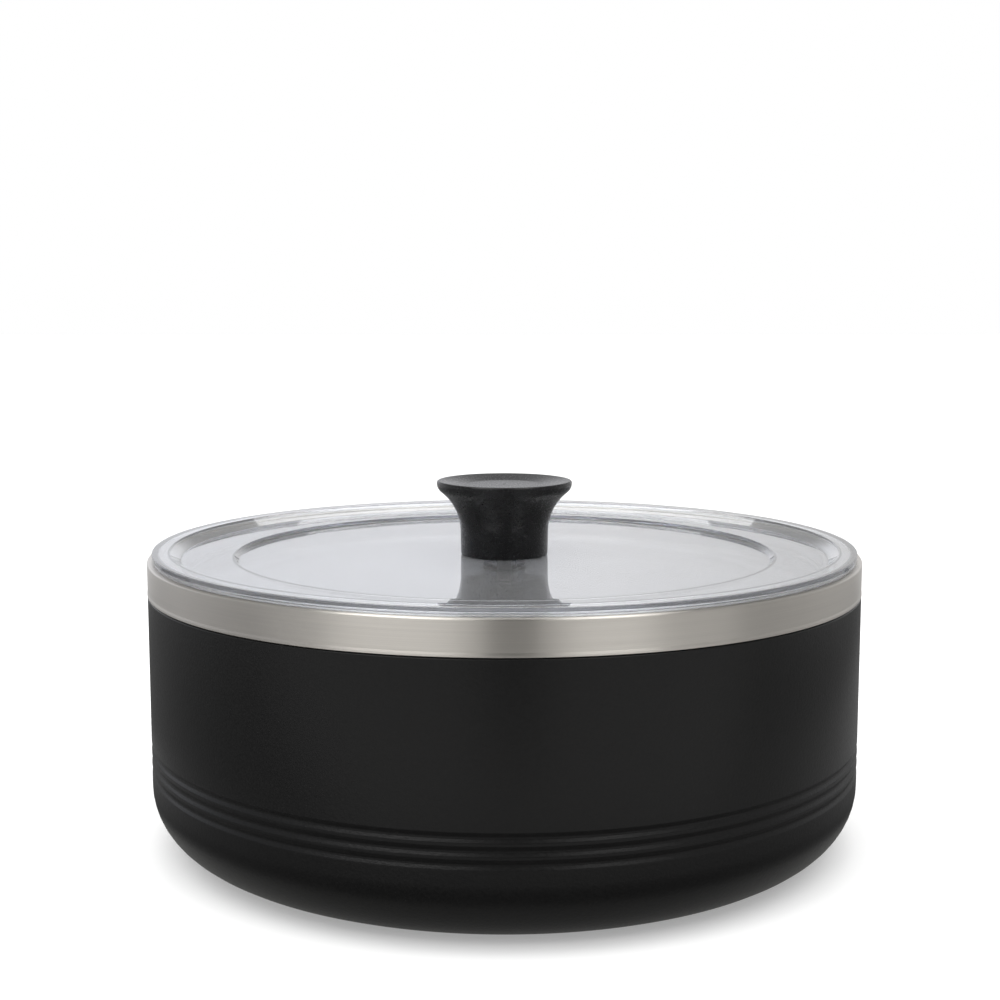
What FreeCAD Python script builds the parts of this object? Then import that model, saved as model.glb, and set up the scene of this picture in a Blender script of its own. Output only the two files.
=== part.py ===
import FreeCAD, Part
import math
import os

import Sketcher

# Insulated chapati casserole.
# Millimetres, +Z up. The origin is the centre of the foot ring's underside, and Z is the axis of pot and lid.
# Every piece is turned from a half section drawn on its own XZ plane: radius to the right, height up.

V = FreeCAD.Vector
doc = FreeCAD.newDocument("ChapatiCasserole")

# ---------------------------------------------------------------- driving dimensions
SIZES = [
    # outer shell
    ("shell_radius", 120.0),
    ("shell_sheet", 0.6),
    ("shell_corner", 20.5),
    ("shell_bottom", 1.0),
    ("shell_lip_top", 5.0),
    ("shoulder_low", 84.97),
    ("shoulder_high", 85.67),
    ("shoulder_inner_low", 84.72),
    ("shoulder_inner_high", 85.42),
    ("neck_radius", 119.3),
    ("neck_top", 94.8),
    ("neck_inner", 115.2),
    ("groove_low", 27.33),
    ("groove_mid", 31.17),
    ("groove_high", 35.09),
    ("groove_half", 1.5),
    ("groove_depth", 0.6),
    ("groove_edge_round", 1.1),
    ("groove_floor_round", 1.4),
    # liner
    ("liner_radius", 111.2),
    ("liner_sheet", 0.5),
    ("liner_corner", 14.0),
    ("liner_floor", 15.0),
    ("liner_flange_top", 95.9),
    ("liner_roll", 2.6),
    ("liner_flange_radius", 118.3),
    # rim band
    ("band_radius", 120.0),
    ("band_sheet", 0.5),
    ("band_low", 85.57),
    ("band_top", 96.4),
    ("band_round", 1.5),
    ("band_inner", 114.7),
    ("hem_radius", 120.18),
    ("hem_low_height", 0.65),
    ("hem_high_height", 1.15),
    # seal between shell neck and liner flange
    ("rim_seal_inner", 115.6),
    ("rim_seal_outer", 117.9),
    # foam
    ("foam_top", 92.6),
    ("foam_bottom", 5.7),
    ("foam_step_radius", 93.0),
    # base plate, foam plug and foot ring
    ("plate_bottom", 2.0),
    ("plate_sheet", 0.6),
    ("plate_radius", 92.0),
    ("plate_rim_top", 5.0),
    ("plate_dome", 1.2),
    ("dome_inner", 22.0),
    ("dome_outer", 68.0),
    ("channel_inner", 82.6),
    ("channel_outer", 89.4),
    ("channel_rise", 1.6),
    ("fill_hole", 5.0),
    ("plug_head_radius", 8.0),
    ("plug_head", 1.0),
    ("plug_shank", 4.9),
    ("plug_barb", 5.5),
    ("plug_top", 5.6),
    ("foot_inner", 82.8),
    ("foot_outer", 89.2),
    ("foot_round", 0.8),
    # lid, outer panel
    ("lid_radius", 118.4),
    ("lid_top", 99.06),
    ("lid_sheet", 1.6),
    ("bead_bottom", 96.4),
    ("bead_inner", 116.3),
    ("flange_inner", 112.65),
    ("flange_under_inner", 113.2),
    ("ring_outer", 108.9),
    ("ring_under_outer", 109.45),
    ("ring_top", 96.3),
    ("recess_radius", 91.5),
    ("recess_under_radius", 92.163),
    ("recess_foot", 90.0),
    ("recess_under_foot", 90.663),
    ("recess_top", 94.8),
    ("screw_way", 2.9),
    # lid, inner panel
    ("inner_radius", 109.0),
    ("inner_sheet", 1.6),
    ("inner_bottom", 87.4),
    ("inner_corner", 2.0),
    ("boss_radius", 7.0),
    ("rib_radius", 109.6),
    ("rib_width", 0.7),
    ("seal_low", 90.5),
    ("seal_high", 93.0),
    ("seal_lip", 110.85),
    ("seal_root", 110.0),
    # knob
    ("knob_foot", 14.85),
    ("knob_waist", 15.15),
    ("knob_waist_corner", 111.1),
    ("knob_flare_round", 17.6),
    ("knob_radius", 23.1),
    ("knob_flare_corner", 117.77),
    ("knob_lip_round", 3.6),
    ("knob_top", 120.4),
    ("knob_edge_round", 0.7),
    ("dish_outer", 21.7),
    ("dish_floor_radius", 12.4),
    ("dish_depth", 1.35),
    ("dimple_radius", 0.6),
    ("dimple_depth", 0.4),
    ("knob_seat_radius", 9.6),
    ("knob_seat_depth", 0.8),
    # knob's insert, screw and washers
    ("insert_radius", 4.2),
    ("insert_neck", 3.7),
    ("insert_low", 96.2),
    ("insert_high", 108.2),
    ("thread_bore", 2.5),
    ("screw_radius", 2.45),
    ("screw_length", 20.0),
    ("screw_head_radius", 4.75),
    ("screw_head_height", 3.2),
    ("cross_width", 1.1),
    ("cross_length", 5.0),
    ("cross_depth", 1.8),
    ("washer_radius", 7.5),
    ("washer_bore", 2.75),
    ("washer_thick", 1.0),
    ("screw_seal_radius", 7.0),
    ("screw_seal_thick", 1.0),
]

sheet = doc.addObject("Spreadsheet::Sheet", "Sizes")
for row, (alias, value) in enumerate(SIZES, 1):
    sheet.set("A%d" % row, alias)
    sheet.set("B%d" % row, str(value))
    sheet.setAlias("B%d" % row, alias)
doc.recompute()


class Size:
    """A length worked out from the table of dimensions: its formula and its value."""

    def __init__(self, text, value):
        self.text = text
        self.value = float(value)

    @staticmethod
    def of(other):
        if isinstance(other, Size):
            return other
        return Size(repr(float(other)), other)

    def __add__(self, other):
        o = Size.of(other)
        return Size("(%s + %s)" % (self.text, o.text), self.value + o.value)

    def __sub__(self, other):
        o = Size.of(other)
        return Size("(%s - %s)" % (self.text, o.text), self.value - o.value)

    def __mul__(self, other):
        o = Size.of(other)
        return Size("(%s * %s)" % (self.text, o.text), self.value * o.value)

    __radd__ = __add__
    __rmul__ = __mul__


class Table:
    pass


q = Table()
for alias, value in SIZES:
    setattr(q, alias, Size("Sizes." + alias, sheet.get(alias)))
ZERO = Size("0", 0.0)


# ---------------------------------------------------------------- drawing helpers
def new_body(label):
    body = doc.addObject("PartDesign::Body", label)
    body.Label = label
    body.Placement = FreeCAD.Placement(V(0, 0, 0), FreeCAD.Rotation())
    return body


def plane_of(body, role):
    for feature in body.Origin.OriginFeatures:
        if feature.Role == role:
            return feature
    raise RuntimeError("no plane " + role)


def new_sketch(body, name, role):
    sketch = body.newObject("Sketcher::SketchObject", name)
    sketch.AttachmentSupport = [(plane_of(body, role), "")]
    sketch.MapMode = "FlatFace"
    return sketch


def bind(sketch, kind, args, size, name):
    k = sketch.addConstraint(Sketcher.Constraint(kind, *args, size.value))
    sketch.renameConstraint(k, name)
    sketch.setExpression("Constraints." + name, size.text)


def place(sketch, geo, pos, x, y, name):
    """Holds one point at a radius and a height from the table."""
    if abs(x.value) < 1e-9:
        sketch.addConstraint(Sketcher.Constraint("PointOnObject", geo, pos, -2))
    else:
        bind(sketch, "DistanceX", (-1, 1, geo, pos), x, name + "_r")
    if abs(y.value) < 1e-9:
        sketch.addConstraint(Sketcher.Constraint("PointOnObject", geo, pos, -1))
    else:
        bind(sketch, "DistanceY", (-1, 1, geo, pos), y, name + "_z")


def section(sketch, points):
    """Closed outline through corners (radius, height) or (radius, height, rounding)."""
    pts = []
    for p in points:
        x, z = Size.of(p[0]), Size.of(p[1])
        r = Size.of(p[2]) if len(p) > 2 else None
        pts.append((x, z, r))
    n = len(pts)
    xy = [V(p[0].value, p[1].value, 0) for p in pts]
    start = [None] * n
    end = [None] * n
    arcs = {}
    for i in range(n):
        a, b, c = xy[i - 1], xy[i], xy[(i + 1) % n]
        if pts[i][2] is None:
            start[i] = end[i] = b
            continue
        r = pts[i][2].value
        u = (b - a).normalize()
        w = (c - b).normalize()
        turn = math.atan2(u.x * w.y - u.y * w.x, u.dot(w))
        cut = r * math.tan(abs(turn) / 2)
        t1 = b - u * cut
        t2 = b + w * cut
        side = 1.0 if turn > 0 else -1.0
        centre = t1 + V(-u.y, u.x, 0) * (side * r)
        arcs[i] = (t1, t2, centre, r, side)
        end[i] = t1
        start[i] = t2
    for i in range(n):
        run = end[(i + 1) % n] - start[i]
        along = xy[(i + 1) % n] - xy[i]
        if run.dot(along) <= 1e-6:
            raise RuntimeError("%s: roundings meet after corner %d" % (sketch.Name, i))
    lines = []
    for i in range(n):
        lines.append(sketch.addGeometry(Part.LineSegment(start[i], end[(i + 1) % n]), False))
    for i in range(n):
        before, after = lines[i - 1], lines[i]
        name = "p%d" % i
        x, z, r = pts[i]
        if r is None:
            sketch.addConstraint(Sketcher.Constraint("Coincident", before, 2, after, 1))
            place(sketch, after, 1, x, z, name)
            continue
        t1, t2, centre, rad, side = arcs[i]
        a1 = math.atan2(t1.y - centre.y, t1.x - centre.x)
        a2 = math.atan2(t2.y - centre.y, t2.x - centre.x)
        circle = Part.Circle(centre, V(0, 0, 1), rad)
        if side > 0:
            first, last = a1, a2
            pos_in, pos_out = 1, 2
        else:
            first, last = a2, a1
            pos_in, pos_out = 2, 1
        if last < first:
            last += 2 * math.pi
        arc = sketch.addGeometry(Part.ArcOfCircle(circle, first, last), False)
        corner = sketch.addGeometry(Part.Point(V(x.value, z.value, 0)), True)
        sketch.addConstraint(Sketcher.Constraint("Tangent", before, 2, arc, pos_in))
        sketch.addConstraint(Sketcher.Constraint("Tangent", arc, pos_out, after, 1))
        sketch.addConstraint(Sketcher.Constraint("PointOnObject", corner, 1, before))
        sketch.addConstraint(Sketcher.Constraint("PointOnObject", corner, 1, after))
        bind(sketch, "Radius", (arc,), r, name + "_round")
        place(sketch, corner, 1, x, z, name)
    return sketch


def turned(label, points):
    """A piece turned about Z from its half section."""
    body = new_body(label)
    sketch = section(new_sketch(body, label + "_section", "XZ_Plane"), points)
    feature = body.newObject("PartDesign::Revolution", label + "_turned")
    feature.Profile = sketch
    feature.ReferenceAxis = (sketch, ["V_Axis"])
    feature.Angle = 360.0
    sketch.Visibility = False
    return body


def grooves(radius, depth):
    """Corners of the three rolled grooves from the lowest up, on a wall of this radius."""
    out = []
    for z in (q.groove_low, q.groove_mid, q.groove_high):
        out.append((radius, z - q.groove_half, q.groove_edge_round))
        out.append((radius - depth, z, q.groove_floor_round))
        out.append((radius, z + q.groove_half, q.groove_edge_round))
    return out


# ---------------------------------------------------------------- pot: outer shell
# Drawn steel: lip, flat bottom, round corner, three rolled grooves, shoulder, neck and in-turned flange.
wall_in = q.shell_radius - q.shell_sheet
shell_floor = q.shell_bottom + q.shell_sheet
lip_out = q.plate_radius + q.shell_sheet
outer_side = [
    (q.plate_radius, q.shell_lip_top),
    (q.plate_radius, q.shell_bottom, 1.2),
    (q.shell_radius, q.shell_bottom, q.shell_corner),
]
outer_side += grooves(q.shell_radius, q.groove_depth)
outer_side += [
    (q.shell_radius, q.shoulder_low, 0.35),
    (q.neck_radius, q.shoulder_high, 0.35),
    (q.neck_radius, q.neck_top, 1.2),
    (q.neck_inner, q.neck_top),
]
inner_wall = [
    (wall_in, shell_floor, q.shell_corner - q.shell_sheet),
]
inner_wall += grooves(wall_in, q.groove_depth)
inner_wall += [
    (wall_in, q.shoulder_inner_low, 0.35),
    (q.neck_radius - q.shell_sheet, q.shoulder_inner_high, 0.35),
]
inner_side = (
    [(lip_out, q.shell_lip_top), (lip_out, shell_floor, 0.6)]
    + inner_wall
    + [
        (q.neck_radius - q.shell_sheet, q.neck_top - q.shell_sheet, 0.6),
        (q.neck_inner, q.neck_top - q.shell_sheet),
    ]
)
outer_shell = turned("outer_shell", outer_side + inner_side[::-1])

# ---------------------------------------------------------------- pot: liner
# Drawn stainless vessel with a wide corner and a rolled mouth ending in a flange.
liner_out = q.liner_radius + q.liner_sheet
liner_under = q.liner_floor - q.liner_sheet
inner_vessel = turned(
    "inner_vessel",
    [
        (ZERO, liner_under),
        (liner_out, liner_under, q.liner_corner + q.liner_sheet),
        (liner_out, q.liner_flange_top - q.liner_sheet, q.liner_roll),
        (q.liner_flange_radius, q.liner_flange_top - q.liner_sheet),
        (q.liner_flange_radius, q.liner_flange_top),
        (q.liner_radius, q.liner_flange_top, q.liner_roll + q.liner_sheet),
        (q.liner_radius, q.liner_floor, q.liner_corner),
        (ZERO, q.liner_floor),
    ],
)

# ---------------------------------------------------------------- pot: rim band
# Spun ring: flat land that carries the lid, rounded shoulder, straight skirt, slightly proud lower hem.
band_in = q.band_radius - q.band_sheet
rim_band = turned(
    "rim_band",
    [
        (q.band_inner, q.band_top - q.band_sheet),
        (band_in, q.band_top - q.band_sheet, q.band_round - q.band_sheet),
        (band_in, q.band_low),
        (q.hem_radius, q.band_low, 0.2),
        (q.hem_radius, q.band_low + q.hem_low_height, 0.3),
        (q.band_radius, q.band_low + q.hem_high_height, 0.5),
        (q.band_radius, q.band_top, q.band_round),
        (q.band_inner, q.band_top, 0.2),
    ],
)

# ---------------------------------------------------------------- pot: seal under the liner's flange
rim_seal = turned(
    "rim_seal",
    [
        (q.rim_seal_inner, q.neck_top),
        (q.rim_seal_outer, q.neck_top),
        (q.rim_seal_outer, q.liner_flange_top - q.liner_sheet),
        (q.rim_seal_inner, q.liner_flange_top - q.liner_sheet),
    ],
)

# ---------------------------------------------------------------- pot: foam
foam_insulation = turned(
    "foam_insulation",
    [
        (ZERO, q.foam_bottom),
        (q.foam_step_radius, q.foam_bottom),
        (q.foam_step_radius, shell_floor),
    ]
    + inner_wall
    + [
        (q.neck_radius - q.shell_sheet, q.foam_top),
        (liner_out, q.foam_top),
        (liner_out, liner_under, q.liner_corner + q.liner_sheet),
        (ZERO, liner_under),
    ],
)

# ---------------------------------------------------------------- pot: base plate
# Pressed disc with a shallow dome, a channel for the foot ring and an up-turned rim inside the shell's lip.
pb, pt = q.plate_bottom, q.plate_sheet
base_plate = turned(
    "base_plate",
    [
        (q.fill_hole, pb),
        (q.dome_inner, pb, 1.0),
        (q.dome_inner + 2.0, pb + q.plate_dome, 1.0),
        (q.dome_outer - 2.0, pb + q.plate_dome, 1.0),
        (q.dome_outer, pb, 1.0),
        (q.channel_inner, pb, 0.3),
        (q.channel_inner, pb + q.channel_rise, 0.3),
        (q.channel_outer, pb + q.channel_rise, 0.3),
        (q.channel_outer, pb, 0.3),
        (q.plate_radius, pb, 1.1),
        (q.plate_radius, q.plate_rim_top),
        (q.plate_radius - pt, q.plate_rim_top),
        (q.plate_radius - pt, pb + pt, 0.5),
        (q.channel_outer + pt, pb + pt, 0.3),
        (q.channel_outer + pt, pb + q.channel_rise + pt, 0.3),
        (q.channel_inner - pt, pb + q.channel_rise + pt, 0.3),
        (q.channel_inner - pt, pb + pt, 0.3),
        (q.dome_outer + 0.16, pb + pt, 1.0),
        (q.dome_outer - 1.84, pb + q.plate_dome + pt, 1.0),
        (q.dome_inner + 1.84, pb + q.plate_dome + pt, 1.0),
        (q.dome_inner - 0.16, pb + pt, 1.0),
        (q.fill_hole, pb + pt),
    ],
)

# ---------------------------------------------------------------- pot: plug in the foam's filling hole
foam_plug = turned(
    "foam_plug",
    [
        (ZERO, pb - q.plug_head),
        (q.plug_head_radius, pb - q.plug_head, 0.4),
        (q.plug_head_radius, pb, 0.2),
        (q.plug_shank, pb),
        (q.plug_shank, pb + pt + 0.05),
        (q.plug_barb, pb + pt + 0.5),
        (q.plug_shank - 0.3, q.plug_top, 0.3),
        (ZERO, q.plug_top),
    ],
)

# ---------------------------------------------------------------- pot: anti-slip foot ring
foot_ring = turned(
    "foot_ring",
    [
        (q.foot_inner, ZERO, q.foot_round),
        (q.foot_outer, ZERO, q.foot_round),
        (q.foot_outer, pb + q.channel_rise, 0.3),
        (q.foot_inner, pb + q.channel_rise, 0.3),
    ],
)

# ---------------------------------------------------------------- lid: outer clear panel
# Flange with a down-turned bead, sloping step, flat ring, shallow recess with the hole for the screw.
lt, ls = q.lid_top, q.lid_sheet
lid_top_panel = turned(
    "lid_top_panel",
    [
        (q.screw_way, q.recess_top - ls),
        (q.recess_under_foot, q.recess_top - ls, 2.2),
        (q.recess_under_radius, q.ring_top - ls, 0.2),
        (q.ring_under_outer, q.ring_top - ls, 1.5),
        (q.flange_under_inner, lt - ls, 0.25),
        (q.bead_inner, lt - ls, 0.35),
        (q.bead_inner, q.bead_bottom, 0.2),
        (q.lid_radius, q.bead_bottom, 0.3),
        (q.lid_radius, lt, 0.35),
        (q.flange_inner, lt, 0.5),
        (q.ring_outer, q.ring_top, 0.4),
        (q.recess_radius, q.ring_top, 0.3),
        (q.recess_foot, q.recess_top, 0.3),
        (q.screw_way, q.recess_top),
    ],
)

# ---------------------------------------------------------------- lid: inner clear panel
# Shallow dish welded under the ring, with two ribs that hold the seal and a boss round the screw.
ib, it = q.inner_bottom, q.inner_sheet
ring_under = q.ring_top - ls
lid_inner_panel = turned(
    "lid_inner_panel",
    [
        (q.screw_way, ib),
        (q.inner_radius, ib, q.inner_corner),
        (q.inner_radius, q.seal_low - q.rib_width - 0.3),
        (q.rib_radius, q.seal_low - q.rib_width, 0.15),
        (q.rib_radius, q.seal_low),
        (q.inner_radius, q.seal_low),
        (q.inner_radius, q.seal_high),
        (q.rib_radius, q.seal_high),
        (q.rib_radius, q.seal_high + q.rib_width, 0.15),
        (q.inner_radius, q.seal_high + q.rib_width + 0.3),
        (q.inner_radius, ring_under),
        (q.inner_radius - it, ring_under),
        (q.inner_radius - it, ib + it, 1.5),
        (q.boss_radius, ib + it, 1.0),
        (q.boss_radius, q.recess_top - ls),
        (q.screw_way, q.recess_top - ls),
    ],
)

# ---------------------------------------------------------------- lid: silicone seal with two lips
sl, sh = q.seal_low + 0.1, q.seal_high - 0.1
seal_in = q.inner_radius + 0.05
lid_seal = turned(
    "lid_seal",
    [
        (seal_in, sl),
        (q.seal_root, sl),
        (q.seal_lip, sl + 0.35, 0.1),
        (q.seal_lip, sl + 0.6, 0.1),
        (q.seal_root, sl + 0.95, 0.1),
        (q.seal_root, sh - 0.95, 0.1),
        (q.seal_lip, sh - 0.6, 0.1),
        (q.seal_lip, sh - 0.35, 0.1),
        (q.seal_root, sh),
        (seal_in, sh),
    ],
)

# ---------------------------------------------------------------- lid: knob
# Slim round stem that flares to a thin rim with a shallow dish; its foot stands on the clear panel.
kf = q.recess_top
mid = (q.insert_low + q.insert_high) * 0.5
knob = turned(
    "knob",
    [
        (q.knob_seat_radius, kf),
        (q.knob_foot, kf, 0.7),
        (q.knob_waist, q.knob_waist_corner, q.knob_flare_round),
        (q.knob_radius, q.knob_flare_corner, q.knob_lip_round),
        (q.knob_radius, q.knob_top, q.knob_edge_round),
        (q.dish_outer, q.knob_top, q.knob_edge_round),
        (q.dish_floor_radius, q.knob_top - q.dish_depth, 4.0),
        (q.dimple_radius, q.knob_top - q.dish_depth),
        (q.dimple_radius, q.knob_top - q.dish_depth - q.dimple_depth),
        (ZERO, q.knob_top - q.dish_depth - q.dimple_depth),
        (ZERO, q.insert_high),
        (q.insert_radius, q.insert_high),
        (q.insert_radius, mid + 1.4),
        (q.insert_neck, mid + 0.9),
        (q.insert_neck, mid - 0.9),
        (q.insert_radius, mid - 1.4),
        (q.insert_radius, kf + q.knob_seat_depth),
        (q.knob_seat_radius, kf + q.knob_seat_depth),
    ],
)

knob_seal = turned(
    "knob_seal",
    [
        (q.screw_way, kf),
        (q.knob_seat_radius - 0.2, kf),
        (q.knob_seat_radius - 0.2, kf + q.knob_seat_depth),
        (q.screw_way, kf + q.knob_seat_depth),
    ],
)

# ---------------------------------------------------------------- lid: brass insert in the knob
knob_insert = turned(
    "knob_insert",
    [
        (q.thread_bore + 0.4, q.insert_low),
        (q.insert_radius, q.insert_low),
        (q.insert_radius, mid - 1.4),
        (q.insert_neck, mid - 0.9),
        (q.insert_neck, mid + 0.9),
        (q.insert_radius, mid + 1.4),
        (q.insert_radius, q.insert_high),
        (q.thread_bore, q.insert_high),
        (q.thread_bore, q.insert_low + 0.4),
    ],
)

# ---------------------------------------------------------------- lid: screw from below, its washer and seal
seal_z = q.inner_bottom - q.screw_seal_thick
under_head = seal_z - q.washer_thick
head_z = under_head - q.screw_head_height
tip = under_head + q.screw_length
knob_screw = turned(
    "knob_screw",
    [
        (ZERO, head_z),
        (q.screw_head_radius - 0.6, head_z, 1.2),
        (q.screw_head_radius, under_head - 1.2, 1.0),
        (q.screw_head_radius, under_head),
        (q.screw_radius, under_head, 0.2),
        (q.screw_radius, tip - 0.5),
        (q.screw_radius - 0.5, tip),
        (ZERO, tip),
    ],
)

screw_washer = turned(
    "screw_washer",
    [
        (q.washer_bore, under_head),
        (q.washer_radius, under_head, 0.25),
        (q.washer_radius, seal_z),
        (q.washer_bore, seal_z),
    ],
)

screw_seal = turned(
    "screw_seal",
    [
        (q.screw_way, seal_z),
        (q.screw_seal_radius, seal_z),
        (q.screw_seal_radius, q.inner_bottom),
        (q.screw_way, q.inner_bottom),
    ],
)

doc.recompute()

# cross recess in the screw's head: two slots at right angles, cut upwards from the head's face
solid_head = knob_screw.Shape.Volume
for name, across, along in (
    ("slot_x", q.cross_length, q.cross_width),
    ("slot_y", q.cross_width, q.cross_length),
):
    slot = new_sketch(knob_screw, name, "XY_Plane")
    slot.AttachmentOffset = FreeCAD.Placement(V(0, 0, head_z.value), FreeCAD.Rotation())
    slot.setExpression("AttachmentOffset.Base.z", head_z.text)
    w, l = across.value / 2, along.value / 2
    corners = [V(-w, -l, 0), V(w, -l, 0), V(w, l, 0), V(-w, l, 0)]
    for i in range(4):
        slot.addGeometry(Part.LineSegment(corners[i], corners[(i + 1) % 4]), False)
    for i in range(4):
        slot.addConstraint(Sketcher.Constraint("Coincident", i, 2, (i + 1) % 4, 1))
    for i in (0, 2):
        slot.addConstraint(Sketcher.Constraint("Horizontal", i))
    for i in (1, 3):
        slot.addConstraint(Sketcher.Constraint("Vertical", i))
    slot.addConstraint(Sketcher.Constraint("Symmetric", 0, 1, 2, 1, -1, 1))
    bind(slot, "DistanceX", (0, 1, 0, 2), across, "across")
    bind(slot, "DistanceY", (1, 1, 1, 2), along, "along")
    doc.recompute()
    cut = knob_screw.newObject("PartDesign::Pocket", name + "_cut")
    cut.Profile = slot
    cut.Type = 0
    cut.Length = q.cross_depth.value
    cut.setExpression("Length", q.cross_depth.text)
    cut.Reversed = True
    slot.Visibility = False
    doc.recompute()
removed = solid_head - knob_screw.Shape.Volume
wanted = q.cross_depth.value * (
    2 * q.cross_width.value * q.cross_length.value - q.cross_width.value**2
)
if abs(removed - wanted) > 0.05 * wanted:
    raise RuntimeError("cross recess removed %.3f mm3, wanted %.3f" % (removed, wanted))

# ---------------------------------------------------------------- check and write
PIECES = [
    outer_shell,
    inner_vessel,
    rim_band,
    rim_seal,
    foam_insulation,
    base_plate,
    foam_plug,
    foot_ring,
    lid_top_panel,
    lid_inner_panel,
    lid_seal,
    knob,
    knob_seal,
    knob_insert,
    knob_screw,
    screw_washer,
    screw_seal,
]

doc.recompute()
for thing in doc.Objects:
    if "Invalid" in thing.State or "Error" in thing.State:
        raise RuntimeError("%s is in state %s" % (thing.Name, thing.State))
for piece in PIECES:
    shape = piece.Shape
    if shape.isNull() or not shape.isValid() or len(shape.Solids) != 1 or shape.Volume <= 0:
        raise RuntimeError("%s has no single valid solid" % piece.Label)

os.makedirs("parts", exist_ok=True)
for piece in PIECES:
    box = piece.Shape.optimalBoundingBox(False, False)
    print(
        "%-18s volume %10.1f mm3  z %7.2f .. %7.2f  radius %7.2f"
        % (piece.Label, piece.Shape.Volume, box.ZMin, box.ZMax, box.XMax)
    )
    piece.Shape.exportStep("parts/%s.step" % piece.Label)
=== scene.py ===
import math

import bpy
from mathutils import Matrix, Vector


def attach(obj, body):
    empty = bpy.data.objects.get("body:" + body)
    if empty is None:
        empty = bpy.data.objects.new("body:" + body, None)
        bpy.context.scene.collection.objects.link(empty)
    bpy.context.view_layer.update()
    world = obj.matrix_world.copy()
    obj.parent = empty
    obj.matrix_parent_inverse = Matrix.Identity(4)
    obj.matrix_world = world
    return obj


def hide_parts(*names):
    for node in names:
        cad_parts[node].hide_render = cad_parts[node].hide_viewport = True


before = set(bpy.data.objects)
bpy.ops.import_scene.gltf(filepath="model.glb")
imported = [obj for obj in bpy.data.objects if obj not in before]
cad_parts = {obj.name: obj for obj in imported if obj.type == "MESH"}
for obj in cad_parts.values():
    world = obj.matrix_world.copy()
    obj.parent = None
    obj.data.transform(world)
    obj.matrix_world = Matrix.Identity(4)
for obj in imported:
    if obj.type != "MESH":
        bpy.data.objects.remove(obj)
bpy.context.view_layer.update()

# light that comes from round the object at a low angle, from the front (0) over the sides (0.5) to the back (1)
AROUND = [(0.0, 0.07), (0.10, 0.12), (0.30, 0.42), (0.50, 0.50), (0.72, 0.90), (0.86, 1.0), (1.0, 1.0)]
CEILING = 0.23
TABLE = 0.33
scene = bpy.context.scene
MM = 0.001


# ---------------------------------------------------------------- turned meshes
def outline(points, step=7.0, longest=None):
    """Corners (radius, height[, rounding]) in mm to a closed polyline of (radius, height, arc's middle or None)."""
    n = len(points)
    out = []
    for i in range(n):
        ax, az = points[i - 1][:2]
        bx, bz = points[i][:2]
        cx, cz = points[(i + 1) % n][:2]
        if len(points[i]) < 3:
            out.append((bx, bz, None))
            continue
        r = points[i][2]
        ux, uz = bx - ax, bz - az
        wx, wz = cx - bx, cz - bz
        lu, lw = math.hypot(ux, uz), math.hypot(wx, wz)
        ux, uz, wx, wz = ux / lu, uz / lu, wx / lw, wz / lw
        turn = math.atan2(ux * wz - uz * wx, ux * wx + uz * wz)
        cut = r * math.tan(abs(turn) / 2)
        side = 1.0 if turn > 0 else -1.0
        mx, mz = bx - ux * cut - uz * side * r, bz - uz * cut + ux * side * r
        first = math.atan2(bz - uz * cut - mz, bx - ux * cut - mx)
        count = max(3, math.ceil(abs(math.degrees(turn)) / step))
        for k in range(count + 1):
            a = first + turn * k / count
            out.append((mx + r * math.cos(a), mz + r * math.sin(a), (mx, mz)))
    fine = []
    for i, (x, z, middle) in enumerate(out):
        nx, nz, _ = out[(i + 1) % len(out)]
        length = math.hypot(nx - x, nz - z)
        if length < 1e-6:
            continue
        fine.append((x, z, middle))
        parts = math.ceil(length / longest) if longest else 1
        for k in range(1, parts):
            fine.append((x + (nx - x) * k / parts, z + (nz - z) * k / parts, None))
    return fine


def facing(line):
    """For each side of the outline, the exact outward direction at its start and at its end."""
    pairs = []
    for i, start in enumerate(line):
        end = line[(i + 1) % len(line)]
        length = math.hypot(end[0] - start[0], end[1] - start[1])
        flat = ((end[1] - start[1]) / length, (start[0] - end[0]) / length)
        pair = []
        for r, z, middle in (start, end):
            way = flat
            if middle is not None:
                ar, az = r - middle[0], z - middle[1]
                size = math.hypot(ar, az)
                turned_out = 1.0 if ar * flat[0] + az * flat[1] > 0 else -1.0
                way = (turned_out * ar / size, turned_out * az / size)
            pair.append(way)
        pairs.append(pair)
    return pairs


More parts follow.
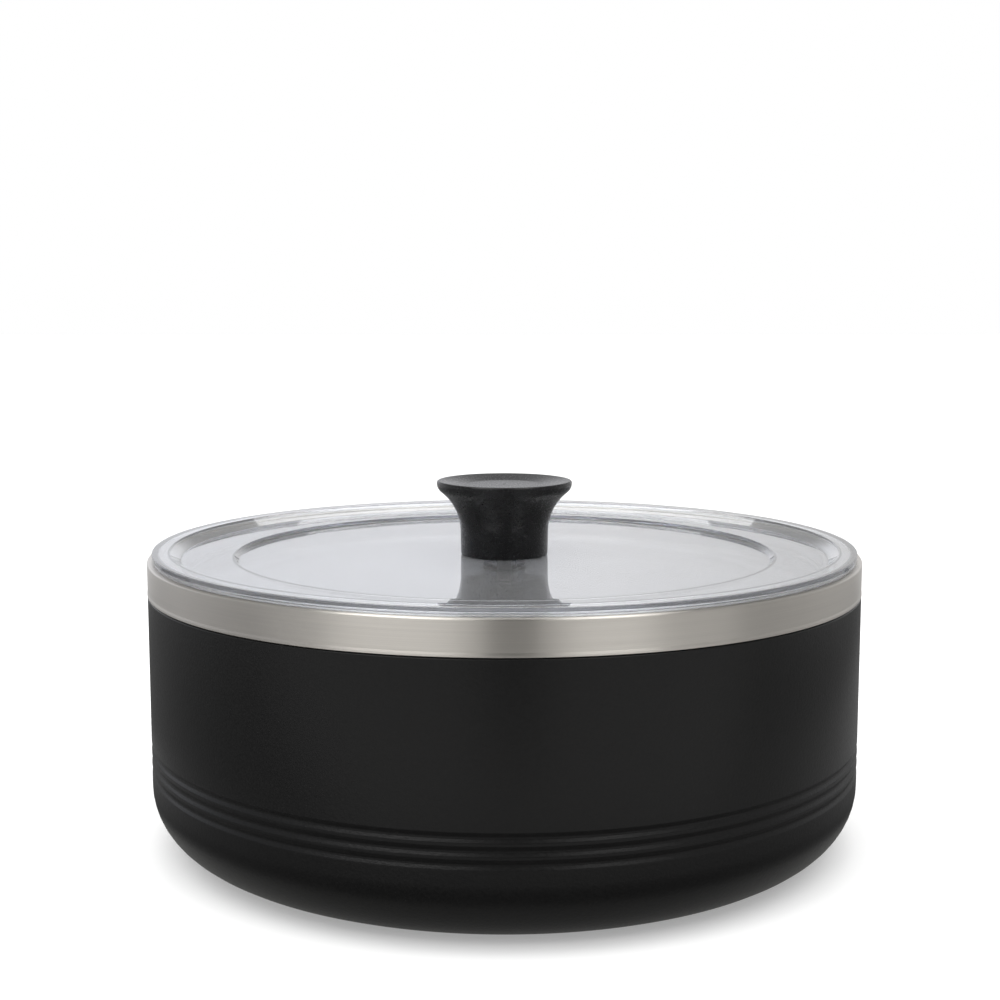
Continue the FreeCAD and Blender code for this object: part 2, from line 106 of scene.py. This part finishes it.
def turned(name, points, body, node, material, around=384, step=7.0, longest=None):
    """A closed, smooth-shaded body of revolution that stands for a node."""
    line = outline(points, step, longest)
    area = sum(
        line[i][0] * line[(i + 1) % len(line)][1] - line[(i + 1) % len(line)][0] * line[i][1]
        for i in range(len(line))
    )
    if area < 0:
        line.reverse()
    ways = facing(line)
    turns = [(math.cos(2 * math.pi * k / around), math.sin(2 * math.pi * k / around)) for k in range(around)]
    verts, rings = [], []
    for r, z, _ in line:
        if r < 1e-6:
            verts.append((0.0, 0.0, z * MM))
            rings.append([len(verts) - 1])
        else:
            rings.append(list(range(len(verts), len(verts) + around)))
            verts += [(r * MM * c, r * MM * s, z * MM) for c, s in turns]
    faces, normals = [], []
    for i in range(len(rings)):
        a, b = rings[i], rings[(i + 1) % len(rings)]
        if len(a) == 1 and len(b) == 1:
            continue
        (ar, az), (br, bz) = ways[i]
        at_a = [(ar * c, ar * s, az) for c, s in turns]
        at_b = [(br * c, br * s, bz) for c, s in turns]
        for k in range(around):
            j = (k + 1) % around
            if len(a) == 1:
                faces.append((a[0], b[j], b[k]))
                normals += [(0.0, 0.0, math.copysign(1.0, az)), at_b[j], at_b[k]]
            elif len(b) == 1:
                faces.append((a[k], a[j], b[0]))
                normals += [at_a[k], at_a[j], (0.0, 0.0, math.copysign(1.0, bz))]
            else:
                faces.append((a[k], a[j], b[j], b[k]))
                normals += [at_a[k], at_a[j], at_b[j], at_b[k]]
    mesh = bpy.data.meshes.new(name)
    mesh.from_pydata(verts, [], faces)
    mesh.update()
    mesh.shade_smooth()
    mesh.normals_split_custom_set(normals)
    obj = bpy.data.objects.new(name, mesh)
    scene.collection.objects.link(obj)
    mesh.materials.append(material)
    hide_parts(node)
    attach(obj, body)
    return obj


# ---------------------------------------------------------------- material helpers
class Nodes:
    """A material's node tree, with short ways to add and join nodes."""

    def __init__(self, name):
        self.mat = bpy.data.materials.new(name)
        self.mat.use_nodes = True
        self.tree = self.mat.node_tree
        self.shader = self.tree.nodes["Principled BSDF"]
        self.output = self.tree.nodes["Material Output"]
        self.coord = self.add("ShaderNodeTexCoord").outputs["Object"]

    def add(self, kind, **props):
        node = self.tree.nodes.new(kind)
        for key, value in props.items():
            setattr(node, key, value)
        return node

    def join(self, a, b):
        self.tree.links.new(a, b)

    def set(self, **values):
        names = {
            "color": "Base Color",
            "metal": "Metallic",
            "rough": "Roughness",
            "ior": "IOR",
            "specular": "Specular IOR Level",
            "aniso": "Anisotropic",
            "aniso_turn": "Anisotropic Rotation",
            "clear": "Transmission Weight",
            "coat": "Coat Weight",
            "coat_rough": "Coat Roughness",
            "sheen": "Sheen Weight",
            "sheen_rough": "Sheen Roughness",
            "scatter": "Subsurface Weight",
            "scatter_scale": "Subsurface Scale",
        }
        for key, value in values.items():
            self.shader.inputs[names[key]].default_value = value

    def mapped(self, scale, source=None):
        node = self.add("ShaderNodeMapping")
        node.inputs["Scale"].default_value = scale
        self.join(source or self.coord, node.inputs["Vector"])
        return node.outputs["Vector"]

    def noise(self, vector, scale=1.0, detail=3.0, rough=0.55):
        node = self.add("ShaderNodeTexNoise")
        node.inputs["Scale"].default_value = scale
        node.inputs["Detail"].default_value = detail
        node.inputs["Roughness"].default_value = rough
        self.join(vector, node.inputs["Vector"])
        return node.outputs["Fac"]

    def ramp(self, value, low, high, out_low, out_high):
        node = self.add("ShaderNodeMapRange")
        node.inputs["From Min"].default_value = low
        node.inputs["From Max"].default_value = high
        node.inputs["To Min"].default_value = out_low
        node.inputs["To Max"].default_value = out_high
        self.join(value, node.inputs["Value"])
        return node.outputs["Result"]

    def colours(self, value, stops):
        node = self.add("ShaderNodeValToRGB")
        ramp = node.color_ramp
        while len(ramp.elements) < len(stops):
            ramp.elements.new(0.5)
        for element, (at, colour) in zip(ramp.elements, stops):
            element.position = at
            element.color = (*colour, 1.0)
        self.join(value, node.inputs["Fac"])
        return node.outputs["Color"]

    def sum(self, a, b, operation="ADD"):
        node = self.add("ShaderNodeMath", operation=operation)
        self.join(a, node.inputs[0])
        if isinstance(b, float):
            node.inputs[1].default_value = b
        else:
            self.join(b, node.inputs[1])
        return node.outputs["Value"]

    def bump(self, height, distance, strength=1.0, before=None):
        node = self.add("ShaderNodeBump")
        node.inputs["Strength"].default_value = strength
        node.inputs["Distance"].default_value = distance
        self.join(height, node.inputs["Height"])
        if before is not None:
            self.join(before, node.inputs["Normal"])
        return node.outputs["Normal"]

    def radius(self):
        """Distance from the Z axis."""
        split = self.add("ShaderNodeSeparateXYZ")
        self.join(self.coord, split.inputs["Vector"])
        flat = self.add("ShaderNodeCombineXYZ")
        self.join(split.outputs["X"], flat.inputs["X"])
        self.join(split.outputs["Y"], flat.inputs["Y"])
        length = self.add("ShaderNodeVectorMath", operation="LENGTH")
        self.join(flat.outputs["Vector"], length.inputs[0])
        return length.outputs["Value"], split

    def turned_grain(self, along, across):
        """Coordinates that run slowly round the axis and fast along the section, as marks from spinning do."""
        r, split = self.radius()
        height = self.sum(split.outputs["Z"], r)
        high = self.sum(height, across, "MULTIPLY")
        join = self.add("ShaderNodeCombineXYZ")
        self.join(self.sum(split.outputs["X"], along, "MULTIPLY"), join.inputs["X"])
        self.join(self.sum(split.outputs["Y"], along, "MULTIPLY"), join.inputs["Y"])
        self.join(high, join.inputs["Z"])
        return join.outputs["Vector"]

    def round_tangent(self):
        node = self.add("ShaderNodeTangent", direction_type="RADIAL", axis="Z")
        self.join(node.outputs["Tangent"], self.shader.inputs["Tangent"])


def powder_coat():
    m = Nodes("black_powder_coat")
    fine = m.noise(m.coord, 1150.0, 3.0, 0.6)
    broad = m.noise(m.coord, 14.0, 2.0, 0.5)
    both = m.sum(m.sum(fine, 0.85, "MULTIPLY"), m.sum(broad, 0.15, "MULTIPLY"))
    m.join(m.colours(both, [(0.32, (0.0016, 0.0016, 0.0017)), (0.68, (0.0034, 0.0033, 0.0032))]), m.shader.inputs["Base Color"])
    m.join(m.ramp(both, 0.3, 0.7, 0.29, 0.37), m.shader.inputs["Roughness"])
    m.set(specular=0.31)
    m.join(m.bump(fine, 0.00008, 0.7), m.shader.inputs["Normal"])
    return m.mat


def brushed_steel(name, light, dark, rough, turn=0.25, aniso=0.85, along=14.0, across=9000.0):
    m = Nodes(name)
    streaks = m.noise(m.turned_grain(along, across), 1.0, 4.0, 0.65)
    broad = m.noise(m.turned_grain(9.0, 700.0), 1.0, 2.0, 0.5)
    both = m.sum(m.sum(streaks, 0.7, "MULTIPLY"), m.sum(broad, 0.3, "MULTIPLY"))
    m.join(m.colours(both, [(0.3, dark), (0.7, light)]), m.shader.inputs["Base Color"])
    m.join(m.ramp(both, 0.3, 0.7, rough * 0.85, rough * 1.15), m.shader.inputs["Roughness"])
    m.set(metal=1.0, aniso=aniso, aniso_turn=turn)
    m.round_tangent()
    m.join(m.bump(streaks, 0.000004, 0.5), m.shader.inputs["Normal"])
    return m.mat


def clear_plastic(name, tint, rough=0.012, clear=1.0):
    m = Nodes(name)
    depth = m.add("ShaderNodeVolumeAbsorption")
    depth.inputs["Color"].default_value = (0.60, 0.63, 0.71, 1.0)
    depth.inputs["Density"].default_value = 100.0
    m.join(depth.outputs["Volume"], m.output.inputs["Volume"])
    smudge = m.noise(m.coord, 38.0, 4.0, 0.6)
    m.join(m.ramp(smudge, 0.35, 0.75, rough * 0.6, rough * 2.2), m.shader.inputs["Roughness"])
    m.join(m.colours(smudge, [(0.2, tint), (0.8, tuple(min(1.0, c * 1.008) for c in tint))]), m.shader.inputs["Base Color"])
    m.set(clear=clear, ior=1.52)
    wave = m.noise(m.coord, 22.0, 1.0, 0.4)
    m.join(m.bump(wave, 0.00002, 0.25), m.shader.inputs["Normal"])
    return m.mat


def moulded(name, dark, light, rough, grain=1500.0, depth=0.00002, strength=0.5, specular=0.4):
    m = Nodes(name)
    fine = m.noise(m.coord, grain, 3.0, 0.6)
    broad = m.noise(m.coord, 45.0, 2.0, 0.5)
    both = m.sum(m.sum(fine, 0.8, "MULTIPLY"), m.sum(broad, 0.2, "MULTIPLY"))
    m.join(m.colours(both, [(0.3, dark), (0.7, light)]), m.shader.inputs["Base Color"])
    m.join(m.ramp(both, 0.3, 0.7, rough * 0.88, rough * 1.12), m.shader.inputs["Roughness"])
    m.set(specular=specular)
    m.join(m.bump(fine, depth, strength), m.shader.inputs["Normal"])
    return m.mat


def silicone(name, dark, light, rough=0.5, scatter=0.0):
    m = Nodes(name)
    fine = m.noise(m.coord, 900.0, 2.0, 0.5)
    m.join(m.colours(fine, [(0.3, dark), (0.7, light)]), m.shader.inputs["Base Color"])
    m.join(m.ramp(fine, 0.3, 0.7, rough * 0.9, rough * 1.1), m.shader.inputs["Roughness"])
    m.set(specular=0.35, scatter=scatter, scatter_scale=0.002)
    m.join(m.bump(fine, 0.00001, 0.4), m.shader.inputs["Normal"])
    return m.mat


def foam():
    m = Nodes("rigid_foam")
    cells = m.add("ShaderNodeTexVoronoi", feature="F1")
    cells.inputs["Scale"].default_value = 1400.0
    m.join(m.coord, cells.inputs["Vector"])
    m.join(m.colours(cells.outputs["Distance"], [(0.1, (0.55, 0.44, 0.22)), (0.6, (0.80, 0.68, 0.40))]), m.shader.inputs["Base Color"])
    m.set(rough=0.9, specular=0.2)
    m.join(m.bump(cells.outputs["Distance"], 0.0002, 0.6), m.shader.inputs["Normal"])
    return m.mat


COAT = powder_coat()
BAND = brushed_steel("brushed_stainless", (0.745, 0.71, 0.655), (0.65, 0.617, 0.57), 0.35, aniso=0.94)
LINER = brushed_steel("stainless_liner", (0.74, 0.725, 0.70), (0.66, 0.645, 0.62), 0.32)
SCREW = brushed_steel("stainless_screw", (0.78, 0.77, 0.75), (0.68, 0.67, 0.65), 0.34, aniso=0.4)
BRASS = brushed_steel("brass_insert", (0.78, 0.58, 0.27), (0.62, 0.45, 0.20), 0.28, aniso=0.4)
CLEAR = clear_plastic("clear_plastic_outer", (0.985, 0.989, 0.995), 0.010, 0.92)
CLEAR_IN = clear_plastic("clear_plastic_inner", (0.985, 0.989, 0.995), 0.02)
KNOB = moulded("knob_black", (0.005, 0.005, 0.0055), (0.008, 0.008, 0.0084), 0.26, 1500.0, 0.00002, 0.5, 0.34)
PLATE = moulded("black_base", (0.020, 0.020, 0.021), (0.030, 0.030, 0.031), 0.45, 1100.0, 0.00004)
PLUG = moulded("black_plastic", (0.038, 0.038, 0.039), (0.052, 0.052, 0.053), 0.5)
FOOT = silicone("black_silicone", (0.028, 0.028, 0.028), (0.040, 0.040, 0.040), 0.6)
GREY = silicone("grey_silicone", (0.26, 0.27, 0.28), (0.33, 0.34, 0.35), 0.5)
MILKY = silicone("milky_silicone", (0.66, 0.68, 0.69), (0.74, 0.76, 0.77), 0.4, 0.4)
FOAM = foam()

# ---------------------------------------------------------------- pot
GROOVES = (27.33, 31.17, 35.09)


def grooves(radius):
    out = []
    for z in GROOVES:
        out += [(radius, z - 1.5, 1.1), (radius - 0.6, z, 1.4), (radius, z + 1.5, 1.1)]
    return out


shell_out = (
    [(92.0, 5.0), (92.0, 1.0, 1.2), (120.0, 1.0, 20.5)]
    + grooves(120.0)
    + [(120.0, 84.97, 0.35), (119.3, 85.67, 0.35), (119.3, 94.8, 1.2), (115.2, 94.8)]
)
shell_in = (
    [(92.6, 5.0), (92.6, 1.6, 0.6), (119.4, 1.6, 19.9)]
    + grooves(119.4)
    + [(119.4, 84.72, 0.35), (118.7, 85.42, 0.35), (118.7, 94.2, 0.6), (115.2, 94.2)]
)
turned("shell_coated", shell_out + shell_in[::-1], "pot", "outer_shell", COAT, 384, 7.0)

turned(
    "liner_drawn",
    [
        (0.0, 14.5), (111.7, 14.5, 14.5), (111.7, 95.4, 2.6), (118.3, 95.4), (118.3, 95.9),
        (111.2, 95.9, 3.1), (111.2, 15.0, 14.0), (0.0, 15.0),
    ],
    "pot", "inner_vessel", LINER, 384, 5.0,
)

turned(
    "band_spun",
    [
        (114.7, 95.9), (119.5, 95.9, 0.4), (119.5, 85.57, 0.1), (120.1, 85.57, 0.15), (120.1, 86.22, 0.4),
        (120.0, 86.9, 0.8), (120.0, 96.4, 0.7), (114.7, 96.4, 0.2),
    ],
    "pot", "rim_band", BAND, 512, 5.0,
)

turned(
    "base_plate_pressed",
    [
        (5.0, 2.0, 0.15), (22.0, 2.0, 1.0), (24.0, 3.2, 1.0), (66.0, 3.2, 1.0), (68.0, 2.0, 1.0), (82.6, 2.0, 0.3),
        (82.6, 3.6, 0.3), (89.4, 3.6, 0.3), (89.4, 2.0, 0.3), (92.0, 2.0, 1.1), (92.0, 5.0), (91.4, 5.0), (91.4, 2.6, 0.5),
        (90.0, 2.6, 0.3), (90.0, 4.2, 0.3), (82.0, 4.2, 0.3), (82.0, 2.6, 0.3), (68.16, 2.6, 1.0), (66.16, 3.8, 1.0),
        (23.84, 3.8, 1.0), (21.84, 2.6, 1.0), (5.0, 2.6),
    ],
    "pot", "base_plate", PLATE, 384,
)

turned(
    "foam_plug_moulded",
    [
        (0.0, 1.25), (4.6, 1.25, 0.4), (5.2, 1.0, 0.3), (8.0, 1.0, 0.4), (8.0, 2.0, 0.2), (4.9, 2.0), (4.9, 2.65),
        (5.5, 3.1), (4.6, 5.6, 0.3), (0.0, 5.6),
    ],
    "pot", "foam_plug", PLUG, 96,
)

turned(
    "foot_ring_moulded",
    [
        (82.8, 0.0, 0.8), (84.55, 0.0, 0.15), (84.75, 0.45, 0.1), (85.15, 0.45, 0.1), (85.35, 0.0, 0.15),
        (86.65, 0.0, 0.15), (86.85, 0.45, 0.1), (87.25, 0.45, 0.1), (87.45, 0.0, 0.15),
        (89.2, 0.0, 0.8), (89.2, 3.6, 0.3), (82.8, 3.6, 0.3),
    ],
    "pot", "foot_ring", FOOT, 384,
)

# ---------------------------------------------------------------- lid
turned(
    "lid_outer_clear",
    [
        (2.9, 93.2, 0.15), (90.663, 93.2, 2.2), (92.163, 94.7, 0.2), (109.45, 94.7, 1.5), (113.2, 97.46, 0.25),
        (116.3, 97.46, 0.35), (116.3, 96.4, 0.2), (118.4, 96.4, 0.3), (118.4, 99.06, 0.35), (112.65, 99.06, 0.5),
        (108.9, 96.3, 0.4), (91.5, 96.3, 0.3), (90.0, 94.8, 0.3), (2.9, 94.8, 0.15),
    ],
    "lid", "lid_top_panel", CLEAR, 512, 5.0,
)

gap = 0.03
turned(
    "lid_inner_clear",
    [
        (2.9, 87.4, 0.15), (109.0, 87.4, 2.0), (109.0, 89.5, 0.1), (109.6, 89.8, 0.15), (109.6, 90.5, 0.1), (109.0, 90.5, 0.1),
        (109.0, 93.0, 0.1), (109.6, 93.0, 0.1), (109.6, 93.7, 0.15), (109.0, 94.0, 0.1), (109.0, 94.7 - gap, 0.1),
        (107.4, 94.7 - gap, 0.1), (107.4, 89.0, 1.5), (7.0, 89.0, 1.0), (7.0, 93.2 - gap, 0.15), (2.9, 93.2 - gap, 0.15),
    ],
    "lid", "lid_inner_panel", CLEAR_IN, 384, 6.0,
)

turned(
    "lid_seal_lipped",
    [
        (109.05, 90.6), (110.0, 90.6, 0.1), (110.85, 90.95, 0.1), (110.85, 91.2, 0.1), (110.0, 91.55, 0.1),
        (110.0, 91.95, 0.1), (110.85, 92.3, 0.1), (110.85, 92.55, 0.1), (110.0, 92.9, 0.1), (109.05, 92.9),
    ],
    "lid", "lid_seal", MILKY, 384,
)

turned(
    "knob_moulded",
    [
        (9.6, 94.8, 0.15), (14.85, 94.8, 0.7), (15.15, 111.1, 17.6), (23.1, 117.77, 3.6), (23.1, 120.4, 0.7),
        (21.7, 120.4, 0.7), (12.4, 119.05, 4.0), (0.6, 119.05, 0.08), (0.6, 118.65, 0.08), (0.0, 118.65),
        (0.0, 108.2), (4.2, 108.2), (4.2, 103.6), (3.7, 103.1), (3.7, 101.3), (4.2, 100.8), (4.2, 95.6), (9.6, 95.6),
    ],
    "lid", "knob", KNOB, 256, 3.0,
)

# nodes that stay as they are
for node, material in (
    ("rim_seal", GREY),
    ("foam_insulation", FOAM),
    ("knob_seal", GREY),
    ("knob_insert", BRASS),
    ("knob_screw", SCREW),
    ("screw_washer", SCREW),
    ("screw_seal", MILKY),
):
    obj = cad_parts[node]
    obj.data.materials.clear()
    obj.data.materials.append(material)

# ---------------------------------------------------------------- floor and cards
def board(name, corners, level, rows=8, columns=8, noise=3.0):
    """A flat matt board between four corners, in a nearly even grey."""
    mesh = bpy.data.meshes.new(name)
    p, q, r, t = (Vector(c) for c in corners)
    verts = []
    for j in range(rows + 1):
        low, high = p.lerp(q, j / rows), t.lerp(r, j / rows)
        verts += [tuple(low.lerp(high, i / columns)) for i in range(columns + 1)]
    w = columns + 1
    faces = [(j * w + i, j * w + i + 1, (j + 1) * w + i + 1, (j + 1) * w + i) for j in range(rows) for i in range(columns)]
    mesh.from_pydata(verts, [], faces)
    mesh.update()
    obj = bpy.data.objects.new(name, mesh)
    scene.collection.objects.link(obj)
    m = Nodes(name)
    grey = [(0.3, (level * 0.99, level * 0.99, level * 0.985)), (0.7, (level * 1.01, level * 1.01, level * 1.005))]
    m.join(m.colours(m.noise(m.coord, noise, 2.0), grey), m.shader.inputs["Base Color"])
    m.set(rough=0.9, specular=0.1)
    mesh.materials.append(m.mat)
    return obj


def disc(name, radius, height, greys, glows, around=96, rings=12):
    """A flat round card whose grey and own light follow the distance from the middle (0 to 1 at its edge)."""
    mesh = bpy.data.meshes.new(name)
    verts = [(0.0, 0.0, height)]
    for j in range(1, rings + 1):
        r = radius * j / rings
        verts += [(r * math.cos(2 * math.pi * k / around), r * math.sin(2 * math.pi * k / around), height) for k in range(around)]
    faces = [(0, 1 + k, 1 + (k + 1) % around) for k in range(around)]
    for j in range(rings - 1):
        a, b = 1 + j * around, 1 + (j + 1) * around
        faces += [(a + k, b + k, b + (k + 1) % around, a + (k + 1) % around) for k in range(around)]
    mesh.from_pydata(verts, [], faces)
    mesh.update()
    obj = bpy.data.objects.new(name, mesh)
    scene.collection.objects.link(obj)
    m = Nodes(name)
    r, _ = m.radius()
    share = m.ramp(r, 0.0, radius, 0.0, 1.0)
    m.join(m.colours(share, [(at, (level, level, level)) for at, level in greys]), m.shader.inputs["Base Color"])
    m.join(m.colours(share, [(at, (level, level, level * 0.97)) for at, level in glows]), m.shader.inputs["Emission Color"])
    m.shader.inputs["Emission Strength"].default_value = 1.0
    m.set(rough=0.9, specular=0.1)
    mesh.materials.append(m.mat)
    return obj


def only_for_gloss(obj):
    obj.visible_camera = False
    obj.visible_diffuse = False
    obj.visible_transmission = False
    obj.visible_shadow = False


floor = board("floor", [(-8, -8, 0), (-8, 8, 0), (8, 8, 0), (8, -8, 0)], 0.62)
floor_tree = floor.data.materials[0].node_tree
floor_shader = floor_tree.nodes["Principled BSDF"]
floor_shader.inputs["Emission Color"].default_value = (1.0, 1.0, 1.0, 1.0)
floor_shader.inputs["Emission Strength"].default_value = 0.32
# from below, the floor is clear, so that the underside can be seen
side_seen = floor_tree.nodes.new("ShaderNodeNewGeometry")
clear_side = floor_tree.nodes.new("ShaderNodeBsdfTransparent")
choose = floor_tree.nodes.new("ShaderNodeMixShader")
floor_tree.links.new(side_seen.outputs["Backfacing"], choose.inputs["Fac"])
floor_tree.links.new(floor_shader.outputs["BSDF"], choose.inputs[1])
floor_tree.links.new(clear_side.outputs["BSDF"], choose.inputs[2])
floor_tree.links.new(choose.outputs["Shader"], floor_tree.nodes["Material Output"].inputs["Surface"])
floor.visible_glossy = False
# the table as glossy surfaces show it: further from white than the floor round the object
table = board("card_table", [(-3, -3, 0.0001), (-3, 3, 0.0001), (3, 3, 0.0001), (3, -3, 0.0001)], TABLE, 16, 16)
only_for_gloss(table)
# painted shade and painted glow: close to the pot this card, seen only in reflections, is dark where the table's
# shadow would be, so the table's reflection is dark there, and right under the corner it glows with its own unshadowed
# light
near = disc("painted_shade_glow_card", 0.200, 0.0003, [(0.0, 0.085), (0.74, 0.085), (1.0, TABLE * 0.7)], [(0.0, 0.0), (0.58, 0.23), (0.635, 0.22), (0.66, 0.0)])
only_for_gloss(near)
for name, low, high, front, level in (
    ("card_left", -0.60, 0.0, -0.18, TABLE * 0.28),
    ("card_right", 0.0, 0.28, -0.15, TABLE * 0.54),
    ("card_far_right", 0.28, 0.50, -0.17, TABLE * 0.22),
):
    card = board(name, [(low, front, 0.0002), (low, 0.42, 0.0002), (high, 0.42, 0.0002), (high, front, 0.0002)], level)
    only_for_gloss(card)
# the dark side, where the view comes from: a painted shadow strip on the table, where the camera's shadow would lie,
# and a dark card where the camera's stand is, both seen only in reflections
shade = board("painted_shadow_card_front", [(-0.10, -1.9, 0.0002), (-0.03, -0.34, 0.0002), (0.06, -0.34, 0.0002), (0.24, -1.9, 0.0002)], 0.06)
only_for_gloss(shade)
stand = board("card_stand", [(-0.055, -0.66, 0.0), (-0.055, -0.66, 0.5), (0.105, -0.66, 0.5), (0.105, -0.66, 0.0)], 0.03)
only_for_gloss(stand)

# ---------------------------------------------------------------- studio light
world = bpy.data.worlds.new("studio")
scene.world = world
world.use_nodes = True
tree = world.node_tree


def light_node(kind, **props):
    node = tree.nodes.new(kind)
    for key, value in props.items():
        setattr(node, key, value)
    return node


def light_ramp(value, low, high, stops):
    """A light's colour that follows one direction through these stops."""
    fit = light_node("ShaderNodeMapRange")
    fit.inputs["From Min"].default_value = low
    fit.inputs["From Max"].default_value = high
    tree.links.new(value, fit.inputs["Value"])
    ramp = light_node("ShaderNodeValToRGB")
    while len(ramp.color_ramp.elements) < len(stops):
        ramp.color_ramp.elements.new(0.5)
    for element, (at, level) in zip(ramp.color_ramp.elements, stops):
        element.position = at
        element.color = (*level, 1.0) if isinstance(level, tuple) else (level, level, level, 1.0)
    tree.links.new(fit.outputs["Result"], ramp.inputs["Fac"])
    return ramp.outputs["Color"]


back = tree.nodes["Background"]
coord = light_node("ShaderNodeTexCoord")
split = light_node("ShaderNodeSeparateXYZ")
tree.links.new(coord.outputs["Generated"], split.inputs["Vector"])
low_level = light_ramp(split.outputs["Y"], -1.0, 1.0, AROUND)
across = light_ramp(
    split.outputs["X"], -1.0, 1.0,
    [(0.0, (0.96, 0.98, 1.05)), (0.48, (0.97, 0.98, 1.02)), (0.53, (0.96, 0.96, 0.98)), (0.60, (0.80, 0.80, 0.81)), (1.0, (0.78, 0.78, 0.79))],
)
low_tint = light_node("ShaderNodeMix", data_type="RGBA", blend_type="MULTIPLY")
low_tint.inputs["Factor"].default_value = 1.0
tree.links.new(low_level, low_tint.inputs[6])
tree.links.new(across, low_tint.inputs[7])
high_share = light_ramp(split.outputs["Z"], 0.0, 1.0, [(0.20, 0.0), (0.36, 1.0)])
mix_levels = light_node("ShaderNodeMix", data_type="RGBA")
tree.links.new(high_share, mix_levels.inputs["Factor"])
tree.links.new(low_tint.outputs[2], mix_levels.inputs[6])
high_level = light_ramp(
    split.outputs["X"], -1.0, 1.0,
    [(0.0, 0.50), (0.20, 0.33), (0.34, CEILING), (0.66, CEILING), (0.80, 0.30), (1.0, 0.48)],
)
tree.links.new(high_level, mix_levels.inputs[7])
tree.links.new(mix_levels.outputs[2], back.inputs["Color"])
back.inputs["Strength"].default_value = 1.0
# beyond the floor the camera sees one pale tone
seen = light_node("ShaderNodeBackground")
seen.inputs["Color"].default_value = (1.0, 1.0, 1.0, 1.0)
path = light_node("ShaderNodeLightPath")
mix = light_node("ShaderNodeMixShader")
tree.links.new(path.outputs["Is Camera Ray"], mix.inputs["Fac"])
tree.links.new(back.outputs["Background"], mix.inputs[1])
tree.links.new(seen.outputs["Background"], mix.inputs[2])
tree.links.new(mix.outputs["Shader"], tree.nodes["World Output"].inputs["Surface"])


def softbox(name, azimuth, elevation, distance, width, height, power, colour=(1.0, 1.0, 1.0)):
    """A soft panel that faces the lid. Azimuth 0 is the camera's side, and 90 the right."""
    light = bpy.data.lights.new(name, "AREA")
    light.shape = "RECTANGLE"
    light.size, light.size_y = width, height
    light.energy = power
    light.color = colour
    obj = bpy.data.objects.new(name, light)
    scene.collection.objects.link(obj)
    a, e = math.radians(azimuth), math.radians(elevation)
    way = Vector((math.sin(a) * math.cos(e), -math.cos(a) * math.cos(e), math.sin(e)))
    obj.location = Vector((0, 0, 0.08)) + way * distance
    obj.rotation_euler = way.to_track_quat("Z", "Y").to_euler()
    return obj


softbox("softbox_left", -34.0, 34.0, 1.5, 1.05, 0.75, 6.0)
softbox("softbox_right", 33.0, 34.0, 1.5, 0.68, 0.75, 3.9)
softbox("softbox_high_left", -52.0, 62.0, 1.5, 0.60, 0.60, 3.6)
softbox("softbox_high_right", 56.0, 62.0, 1.5, 0.60, 0.60, 2.7)
softbox("softbox_top", 180.0, 62.0, 1.8, 1.3, 1.2, 12.0)
# an even light from above for the floor and the matt surfaces
data = bpy.data.lights.new("fill", "SUN")
data.energy = 3.05
data.angle = math.radians(100.0)
fill = bpy.data.objects.new("fill", data)
scene.collection.objects.link(fill)
fill.location = (0.0, 0.0, 2.0)
fill.visible_glossy = False
fill.visible_transmission = False

# ---------------------------------------------------------------- camera
data = bpy.data.cameras.new("camera")
data.sensor_width = 36.0
data.lens = 57.256
data.clip_start = 0.01
data.clip_end = 50.0
camera = bpy.data.objects.new("camera", data)
scene.collection.objects.link(camera)
camera.location = (-0.001484, -0.54016, 0.18103)
camera.rotation_euler = (math.radians(90.0 - 7.1223), 0.0, 0.0)
scene.camera = camera

scene.view_settings.view_transform = "Standard"
scene.view_settings.look = "None"
scene.view_settings.exposure = 0.0
scene.view_settings.gamma = 1.0
scene.cycles.use_denoising = True
scene.cycles.max_bounces = 24
scene.cycles.transmission_bounces = 20
scene.cycles.glossy_bounces = 12
scene.cycles.diffuse_bounces = 4
scene.cycles.transparent_max_bounces = 16
scene.cycles.sample_clamp_indirect = 8.0
scene.cycles.caustics_reflective = True
scene.cycles.caustics_refractive = True
